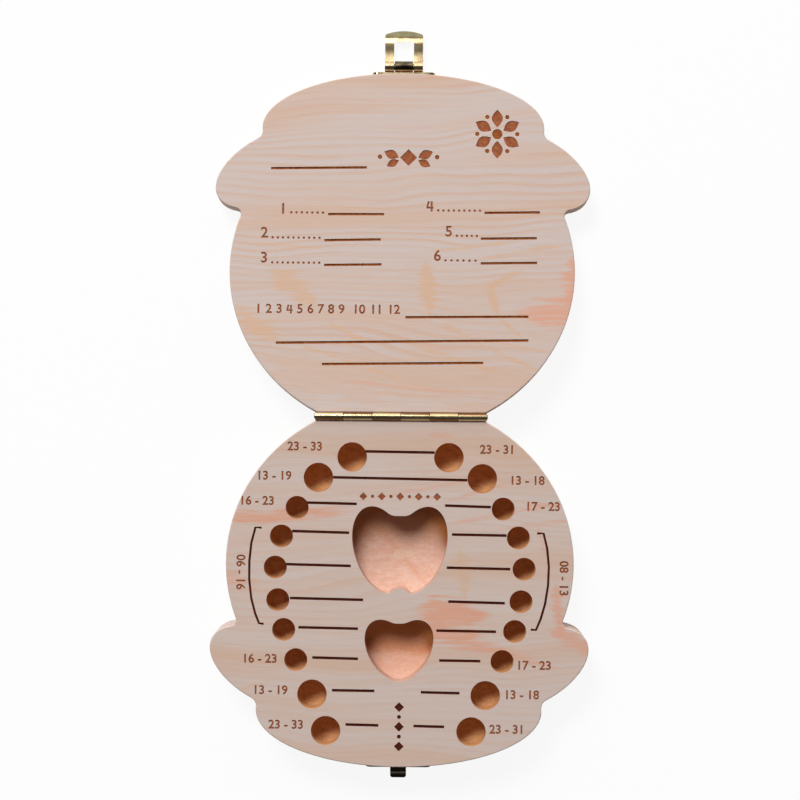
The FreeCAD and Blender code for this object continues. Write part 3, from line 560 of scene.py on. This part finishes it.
def wood_material(name, face, seed, pale, streaks, line_strength, lean, hollows):
    """Pale softwood with its grain along x: growth lines, fine fibres and warm streaks.

    Lean is the slope that the growth lines reach near the hinge edge.
    Hollows says whether the board has milled hollows.
    """
    material, graph, shader = new_material(name)
    x, y, z = board_coordinates(graph, face)

    def grain(kind, depth, across=y):
        x_scale, y_scale, detail, rough = kind
        place = graph.join(graph.times(x, x_scale), graph.times(across, y_scale), depth)
        return graph.noise(place, 1.0, detail, rough)

    def deep_grain(kind):
        return grain(kind, graph.times(z, kind[1]))

    bent = y
    for kind, swing in waves:
        bent = graph.plus(bent, graph.times(graph.math("SUBTRACT", grain(kind, seed), 0.5), swing))
    bent = graph.plus(bent, graph.times(z, DEPTH_DRIFT))
    bent = graph.plus(bent, graph.times(x, graph.span(y, *LEAN_SPAN, 0.0, lean)))
    year = graph.math("FRACT", graph.math("DIVIDE", graph.plus(bent, RING_OFFSET), RING_WIDTH))
    late = graph.times(graph.span(year, *LATE_RISE), graph.span(year, *LATE_FALL))
    fade = grain(FADE_GRAIN, seed + FADE_SEED, bent)
    late = graph.times(late, graph.span(fade, *FADE_SPAN, FAINTEST_RING, line_strength))
    bands = graph.span(grain(BAND_GRAIN, seed + BAND_SEED, bent), *BAND_SPAN)
    lines = graph.span(grain(LINE_GRAIN, seed, bent), *LINE_SPAN, 0.0, LINE_SHARE * line_strength)
    colour = graph.mix(bands, pale, WARM_WOOD)
    colour = graph.mix(lines, colour, LATE_WOOD)
    colour = graph.mix(late, colour, LATE_WOOD)
    ragged = graph.span(grain(RAG_GRAIN, seed), *RAG_SPAN)
    veined = graph.span(grain(VEIN_GRAIN, seed, bent), *VEIN_SPAN)
    for start, end, widths, amount, tint in streaks:
        mask = streak(graph, x, y, ragged, start, end, widths)
        colour = graph.mix(graph.times(mask, graph.times(veined, amount)), colour, tint)
    fibre = deep_grain(FIBRE_GRAIN)
    colour = graph.shade(colour, graph.span(fibre, *FIBRE_SHADE))
    colour = graph.shade(colour, graph.span(deep_grain(PORE_GRAIN), *PORE_SHADE))
    if hollows:
        milled = hollow_colour(graph, x, y, deep_grain(FUZZ_GRAIN))
        milled = graph.shade(milled, graph.span(deep_grain(SCRATCH_GRAIN), *SCRATCH_SHADE))
        colour = graph.mix(hollow_mask(graph, x, y, z), colour, milled)
    graph.feed(shader.inputs["Base Color"], colour)
    graph.feed(shader.inputs["Roughness"], graph.span(fibre, *FIBRE_ROUGH))
    shader.inputs["Specular IOR Level"].default_value = WOOD_SPECULAR
    graph.feed(shader.inputs["Normal"], graph.bump(fibre, *FIBRE_BUMP))
    return material


def burnt_material(name, dark, light):
    """Scorched wood in the engraved grooves."""
    material, graph, shader = new_material(name)
    place = graph.add("ShaderNodeTexCoord").outputs["Object"]
    blotch = graph.noise(place, *SCORCH_NOISE)
    graph.feed(shader.inputs["Base Color"], graph.ramp(blotch, list(zip(SCORCH_STOPS, (dark, light)))))
    graph.feed(shader.inputs["Roughness"], graph.span(blotch, *SCORCH_ROUGH))
    shader.inputs["Specular IOR Level"].default_value = SCORCH_SPECULAR
    graph.feed(shader.inputs["Normal"], graph.bump(blotch, *SCORCH_BUMP))
    return material


def metal_material(name, colour, tint, rough, bends=(), painted_shading=None):
    """Smooth plated metal with matt clouds and faint pits.

    A bend rounds it off between two places along y by a drop, all in metres.
    Painted shading is a colour of painted reflection and shade, and the spans of y and, if it has one, of z over
    which it sets in.
    """
    material, graph, shader = new_material(name)
    place = graph.add("ShaderNodeTexCoord").outputs["Object"]
    _, y, z = graph.split(place)
    clouds = graph.noise(place, *CLOUD_NOISE)
    plating = graph.ramp(clouds, list(zip(CLOUD_STOPS, (colour, tint))))
    # Painted reflection and shade: a band of another colour laid over the plating along y, and along z if given.
    if painted_shading:
        shading_colour, y_span, z_span = painted_shading
        reach = graph.span(y, *y_span)
        if z_span:
            reach = graph.times(reach, graph.span(z, *z_span))
        reach = graph.times(reach, graph.span(clouds, *CLOUD_SPAN, *CLOUD_SHADING))
        plating = graph.mix(reach, plating, shading_colour)
    graph.feed(shader.inputs["Base Color"], plating)
    roughness = graph.span(clouds, *CLOUD_SPAN, rough - CLOUD_ROUGH, rough + CLOUD_ROUGH)
    graph.feed(shader.inputs["Roughness"], roughness)
    shader.inputs["Metallic"].default_value = 1.0
    normal = graph.bump(graph.noise(place, *PIT_NOISE), *PIT_BUMP)
    for start, end, drop in bends:
        normal = graph.bump(graph.span(y, start, end, 1.0, 0.0), 1.0, drop, normal)
    graph.feed(shader.inputs["Normal"], normal)
    return material


def prism(mesh, points, depth, side):
    """Adds an upright prism on points (x, v) that reaches from above a board's face to a depth below it."""
    face, way = side
    rings = []
    for height in (-depth, ABOVE):
        rings.append([mesh.verts.new(face @ Vector((x, way * v, height))) for x, v in points])
    count = len(points)
    mesh.faces.new(rings[0])
    mesh.faces.new(rings[1])
    for index in range(count):
        following = (index + 1) % count
        mesh.faces.new((rings[0][index], rings[0][following], rings[1][following], rings[1][index]))


def bar(start, end, width):
    """Outline of a straight groove."""
    along = Vector(end) - Vector(start)
    side = Vector((-along.y, along.x)).normalized() * (width / 2)
    return [Vector(start) + side, Vector(start) - side, Vector(end) - side, Vector(end) + side]


def band(points, width):
    """Outline of a groove along bent points."""
    left, right = [], []
    for index, point in enumerate(points):
        before = Vector(points[max(index - 1, 0)])
        after = Vector(points[min(index + 1, len(points) - 1)])
        along = (after - before).normalized()
        side = Vector((-along.y, along.x)) * (width / 2)
        left.append(Vector(point) + side)
        right.append(Vector(point) - side)
    return left + right[::-1]


def disc(centre, radius, count=20):
    """Outline of a round dot."""
    turns = [2 * math.pi * step / count for step in range(count)]
    return [(centre[0] + radius * math.cos(turn), centre[1] + radius * math.sin(turn)) for turn in turns]


def diamond(centre, half):
    """Outline of a square that stands on a corner."""
    return [(centre[0] + half, centre[1]), (centre[0], centre[1] + half),
            (centre[0] - half, centre[1]), (centre[0], centre[1] - half)]


def bead(step, centre, dot, half):
    """Outline of a bead in a row, where dots and diamonds take turns."""
    return disc(centre, dot) if step % 2 else diamond(centre, half)


def leaf(start, end, swell, count=8):
    """Outline of a pointed leaf between two tips."""
    start, along = Vector(start), Vector(end) - Vector(start)
    side = Vector((-along.y, along.x)) * swell
    steps = [step / count for step in range(count + 1)]
    up = [start + along * step + side * math.sin(math.pi * step) for step in steps]
    down = [start + along * step - side * math.sin(math.pi * step) for step in steps[1:-1]]
    return up + down[::-1]


def add_number(mesh, words, place, height, turn, side):
    """Adds the solid of a plain number, with its middle at a place on a board."""
    if words == "4":
        corner = [place[axis] - FOUR_MIDDLE[axis] * height for axis in (0, 1)]
        outline = [(corner[0] + x * height, corner[1] + v * height) for x, v in four_shares]
        prism(mesh, outline, MARK_DEPTH, side)
        return
    face, way = side
    curve = bpy.data.curves.new("number", "FONT")
    curve.body = words
    curve.align_x = "CENTER"
    curve.align_y = "CENTER"
    curve.size = height / DIGIT_SHARE
    curve.resolution_u = DIGIT_RESOLUTION
    curve.offset = DIGIT_SWELL
    curve.extrude = (MARK_DEPTH + ABOVE) / 2
    holder = bpy.data.objects.new("number", curve)
    bpy.context.scene.collection.objects.link(holder)
    bpy.context.view_layer.update()
    solid = holder.evaluated_get(bpy.context.evaluated_depsgraph_get()).to_mesh()
    lift = (ABOVE - MARK_DEPTH) / 2
    onto = face @ Matrix.Translation((place[0], way * place[1], lift))
    solid.transform(onto @ Matrix.Rotation(math.radians(turn), 4, "Z"))
    mesh.from_mesh(solid)
    bpy.data.objects.remove(holder)
    bpy.data.curves.remove(curve)


def cutter_from(mesh, name, material):
    """Turns collected prisms into a cutter object."""
    bmesh.ops.remove_doubles(mesh, verts=mesh.verts, dist=WELD)
    bmesh.ops.recalc_face_normals(mesh, faces=mesh.faces)
    data = bpy.data.meshes.new(name)
    mesh.to_mesh(data)
    mesh.free()
    data.materials.append(material)
    cutter = bpy.data.objects.new(name, data)
    bpy.context.scene.collection.objects.link(cutter)
    return cutter


def even_normals(data, limit):
    """Corner normals weighted by the area of each flat patch, so that a flat face stays flat at its edges."""
    normals = [face.normal.copy() for face in data.polygons]
    patches, areas = [], {}
    for face, normal in zip(data.polygons, normals):
        direction = [round(part, NORMAL_DIGITS) for part in normal]
        patch = (*direction, round(normal.dot(face.center), OFFSET_DIGITS))
        patches.append(patch)
        areas[patch] = areas.get(patch, 0.0) + face.area
    around = [[] for _ in data.vertices]
    for face in data.polygons:
        for vertex in face.vertices:
            around[vertex].append(face.index)
    corners = [None] * len(data.loops)
    for face, normal in zip(data.polygons, normals):
        for corner, vertex in zip(face.loop_indices, face.vertices):
            near = [other for other in around[vertex] if normal.dot(normals[other]) > math.cos(limit)]
            total = sum((normals[other] * areas[patches[other]] for other in near), Vector())
            corners[corner] = total.normalized() if total.length else normal
    data.shade_smooth()
    data.normals_split_custom_set(corners)


def engraved_board(name, node, body, wood, cutters):
    """The board with its engraving cut into it, in place of the plain one."""
    board = bpy.data.objects.new(name, nodes[node].data.copy())
    bpy.context.scene.collection.objects.link(board)
    weld = bmesh.new()
    weld.from_mesh(board.data)
    bmesh.ops.remove_doubles(weld, verts=weld.verts, dist=WELD)
    weld.to_mesh(board.data)
    weld.free()
    board.data.materials.clear()
    board.data.materials.append(wood)
    for cutter in cutters:
        cut = board.modifiers.new("cut", "BOOLEAN")
        cut.operation = "DIFFERENCE"
        cut.solver = "EXACT"
        cut.material_mode = "TRANSFER"
        cut.object = cutter
    bpy.context.view_layer.update()
    data = bpy.data.meshes.new_from_object(board.evaluated_get(bpy.context.evaluated_depsgraph_get()))
    board.modifiers.clear()
    board.data = data
    for cutter in cutters:
        bpy.data.objects.remove(cutter)
    even_normals(data, SMOOTH_LIMIT)
    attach(board, body)
    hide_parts(node)


def base_cutters(dark, light):
    """Cutters of the base: lines and brackets, numbers beside the holes, and the beads at the pockets."""
    lines, marks = bmesh.new(), bmesh.new()
    for x0, v0, x1, v1 in base_lines:
        prism(lines, bar((x0, v0), (x1, v1), BASE_LINE), LINE_DEPTH, base_side)
    for points in brackets:
        prism(lines, band(points, BRACKET_LINE), LINE_DEPTH, base_side)
    for words, x, v, turn in base_numbers:
        add_number(marks, words, (x, v), BASE_NUMBER, turn, base_side)
    for step in range(-ROW_REACH, ROW_REACH + 1):
        across = bead(step, (step * ROW_PITCH, ROW_V), ROW_DOT, ROW_DIAMOND)
        prism(marks, across, MARK_DEPTH, base_side)
    for step in range(-COLUMN_REACH, COLUMN_REACH + 1):
        along = bead(step, (COLUMN_X, COLUMN_V + step * COLUMN_PITCH), COLUMN_DOT, COLUMN_DIAMOND)
        prism(lines, along, MARK_DEPTH, base_side)
    return [cutter_from(lines, "base_lines", dark), cutter_from(marks, "base_marks", light)]


def ornament_place(offset, mirror):
    """A place beside the leaf ornament's middle, on its left for -1 and on its right for 1."""
    return (ORNAMENT[0] + mirror * offset[0], ORNAMENT[1] + offset[1])


def lid_cutters(dark, light):
    """Cutters of the lid: lines, numbered fields, row of months, leaf ornament and flower."""
    lines, marks = bmesh.new(), bmesh.new()
    for x0, v0, x1, v1 in lid_lines:
        prism(lines, bar((x0, v0), (x1, v1), LID_LINE), LINE_DEPTH, lid_side)
    for words, x, v, dots_from, dots_to, dots_v in lid_fields:
        add_number(marks, words, (x, v), LID_NUMBER, 0, lid_side)
        count = round((dots_to - dots_from) / LEADER_PITCH)
        for step in range(count + 1):
            place = dots_from + (dots_to - dots_from) * step / count
            prism(marks, disc((place, dots_v), LEADER_DOT, LEADER_DOT_SIDES), MARK_DEPTH, lid_side)
    for month in range(1, MONTHS + 1):
        across = MONTHS_START + MONTH_STEP * month + TWO_DIGIT_STEP * max(0, month - LAST_ONE_DIGIT)
        add_number(marks, str(month), (across, MONTHS_V), MONTH_NUMBER, 0, lid_side)
    prism(marks, diamond(ORNAMENT, ORNAMENT_DIAMOND), MARK_DEPTH, lid_side)
    for mirror in (-1, 1):
        for start, end, swell in ornament_leaves:
            outline = leaf(ornament_place(start, mirror), ornament_place(end, mirror), swell)
            prism(marks, outline, MARK_DEPTH, lid_side)
        dot = disc(ornament_place(ORNAMENT_DOT, mirror), ORNAMENT_DOT_RADIUS)
        prism(marks, dot, MARK_DEPTH, lid_side)
    half_turn = math.radians(PETAL_TURN / 2)
    for petal in range(PETALS):
        turn = math.radians(PETAL_TURN * petal + PETAL_TURN / 2)
        ray = Vector((math.cos(turn), math.sin(turn)))
        outline = leaf(FLOWER + ray * PETAL_START, FLOWER + ray * PETAL_END, PETAL_SWELL)
        prism(marks, outline, MARK_DEPTH, lid_side)
        between = Vector((math.cos(turn + half_turn), math.sin(turn + half_turn)))
        prism(lines, disc(FLOWER + between * FLOWER_DOT_REACH, FLOWER_DOT), MARK_DEPTH, lid_side)
    prism(lines, disc(FLOWER, FLOWER_HEART), MARK_DEPTH, lid_side)
    return [cutter_from(lines, "lid_lines", dark), cutter_from(marks, "lid_marks", light)]


def make_floor():
    """A pale floor that the camera and reflections see as near white, and that keeps the shadow."""
    bpy.ops.mesh.primitive_grid_add(x_subdivisions=2, y_subdivisions=2, size=FLOOR_SIZE, location=FLOOR_PLACE)
    floor = bpy.context.object
    floor.name = "floor"
    material, graph, shader = new_material("floor_white")
    tree = material.node_tree
    shader.inputs["Base Color"].default_value = grey(FLOOR_GREY)
    shader.inputs["Roughness"].default_value = FLOOR_ROUGH
    shader.inputs["Specular IOR Level"].default_value = 0.0
    glow = graph.add("ShaderNodeEmission")
    glow.inputs["Color"].default_value = grey(FLOOR_GLOW)
    blend = graph.add("ShaderNodeMixShader")
    path = graph.add("ShaderNodeLightPath")
    seen = graph.math("MAXIMUM", path.outputs["Is Camera Ray"], path.outputs["Is Glossy Ray"])
    seen = graph.math("MAXIMUM", seen, path.outputs["Is Transmission Ray"])
    graph.feed(blend.inputs[0], graph.times(seen, FLOOR_GLOW_SHARE))
    tree.links.new(shader.outputs[0], blend.inputs[1])
    tree.links.new(glow.outputs[0], blend.inputs[2])
    tree.links.new(blend.outputs[0], tree.nodes["Material Output"].inputs["Surface"])
    floor.data.materials.append(material)


def make_key_light():
    """One large soft lamp behind the lid, to the left."""
    data = bpy.data.lights.new("key", "AREA")
    data.shape = "DISK"
    data.size = KEY_SIZE
    data.energy = KEY_POWER
    light = bpy.data.objects.new("key", data)
    light.location = KEY_PLACE
    light.rotation_euler = (Vector(KEY_TARGET) - Vector(KEY_PLACE)).to_track_quat("-Z", "Y").to_euler()
    bpy.context.scene.collection.objects.link(light)


def make_world():
    """A studio that is bright behind the lid and dim elsewhere, by direction along y."""
    world = bpy.data.worlds.new("studio")
    bpy.context.scene.world = world
    world.use_nodes = True
    graph = Graph(world.node_tree)
    direction = graph.split(graph.add("ShaderNodeTexCoord").outputs["Generated"])
    toward_light = graph.plus(graph.times(direction[1], 0.5), 0.5)
    sky = graph.ramp(toward_light, [(place, grey(level)) for place, level in sky_levels])
    background = world.node_tree.nodes["Background"]
    graph.feed(background.inputs["Color"], sky)
    background.inputs["Strength"].default_value = 1.0


def make_camera():
    """The photograph's view, from almost straight above."""
    data = bpy.data.cameras.new("camera")
    data.sensor_width = CAMERA_SENSOR
    data.lens = CAMERA_LENS
    data.clip_start, data.clip_end = CAMERA_CLIP
    camera = bpy.data.objects.new("camera", data)
    camera.location = CAMERA_PLACE
    camera.rotation_euler = [math.radians(turn) for turn in CAMERA_TURN]
    bpy.context.scene.collection.objects.link(camera)
    bpy.context.scene.camera = camera


def brass_material(name, bends=(), painted_shading=None):
    """The plated brass that most of the fittings share."""
    return metal_material(name, BRASS, BRASS_TINT, BRASS_ROUGH, bends, painted_shading)


base_wood = wood_material(
    "base_wood", base_face, seed=2.0, pale=PALE_BASE, streaks=base_streaks,
    line_strength=0.34, lean=0.0, hollows=True,
)
lid_wood = wood_material(
    "lid_wood", lid_face, seed=7.0, pale=PALE_LID, streaks=lid_streaks,
    line_strength=0.66, lean=0.14, hollows=False,
)
burnt = burnt_material("burnt_line", linear(62, 17, 4), linear(88, 33, 12))
singed = burnt_material("singed_line", linear(128, 62, 22), linear(164, 96, 46))
scorched = burnt_material("scorched_mark", linear(134, 68, 38), linear(164, 100, 66))

brass = brass_material("plated_brass")
# Painted shade: the keeper plate is all dark brass, as if it lay in shade and mirrored the dim studio.
keeper_shade_brass = metal_material("dark_bronze", DARK_SHADE_BRASS, DARK_SHADE_BRASS_TINT, DARK_SHADE_BRASS_ROUGH)
# Painted shade: the pins are darkened so that the gaps between the knuckles look shaded.
steel = metal_material("drawn_steel", PIN_STEEL_SHADED, PIN_STEEL_SHADED_TINT, STEEL_ROUGH)

flap_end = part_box("hasp_flap")[1].y
flap_pivot = joints["hasp_pivot"]["pos_m"][1]
flap_bends = [
    (*(flap_end - distance for distance in CROSSBAR_BEND), CROSSBAR_DROP),
    (*(flap_pivot + distance for distance in SHOULDER_BEND), SHOULDER_DROP),
]
# Painted reflection: the flap's lip turns olive, as if it mirrored the dim studio.
lip_painted_reflection = (LIP_REFLECTION_OLIVE, [flap_end - distance for distance in LIP_FADE], None)
bent_brass = brass_material("bent_brass", flap_bends, lip_painted_reflection)

# Painted shade: the plate's knuckle turns dark brass, as if in shade.
knuckle_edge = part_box("hasp_plate")[0].y + KNUCKLE_DEPTH
plate_brass = brass_material("plate_brass", (), (DARK_SHADE_BRASS, (knuckle_edge, knuckle_edge + KNUCKLE_FADE), None))

# Painted reflection: a brown band on each leaf's knuckles just below the axis, as if they mirrored the wood.
knuckle_reflection_height = (HINGE_AXIS.z - KNUCKLE_REFLECTION_BELOW, HINGE_AXIS.z)
base_knuckle_reflection = (KNUCKLE_REFLECTION_BROWN, [HINGE_AXIS.y - distance for distance in KNUCKLE_REFLECTION_FADE], knuckle_reflection_height)
lid_knuckle_reflection = (KNUCKLE_REFLECTION_BROWN, [HINGE_AXIS.y + distance for distance in KNUCKLE_REFLECTION_FADE], knuckle_reflection_height)
base_leaf_brass = brass_material("base_leaf_brass", (), base_knuckle_reflection)
lid_leaf_brass = brass_material("lid_leaf_brass", (), lid_knuckle_reflection)

engraved_board("base_engraved", "base_board", "base", base_wood, base_cutters(burnt, scorched))
engraved_board("lid_engraved", "lid_board", "lid", lid_wood, lid_cutters(singed, scorched))

# Every fitting takes the finish of its slot, unless it has one of its own.
slots = {part["node"]: part["material_slot"] for part in frame["record"]["subparts"]}
finishes = {"brass": brass, "steel": steel}
# The keeper plate's dark brass is painted shade, and the own finishes of the catch and the hinge leaves carry
# painted reflection and shade.
own_finishes = {
    "hasp_flap": bent_brass, "keeper_plate": keeper_shade_brass, "hasp_plate": plate_brass,
    "base_hinge_leaf": base_leaf_brass, "lid_hinge_leaf": lid_leaf_brass,
}
for name, node in nodes.items():
    if slots[name] in finishes:
        node.data.materials.clear()
        node.data.materials.append(own_finishes.get(name, finishes[slots[name]]))

make_floor()
make_world()
make_key_light()
make_camera()
bpy.context.scene.view_settings.view_transform = "Standard"
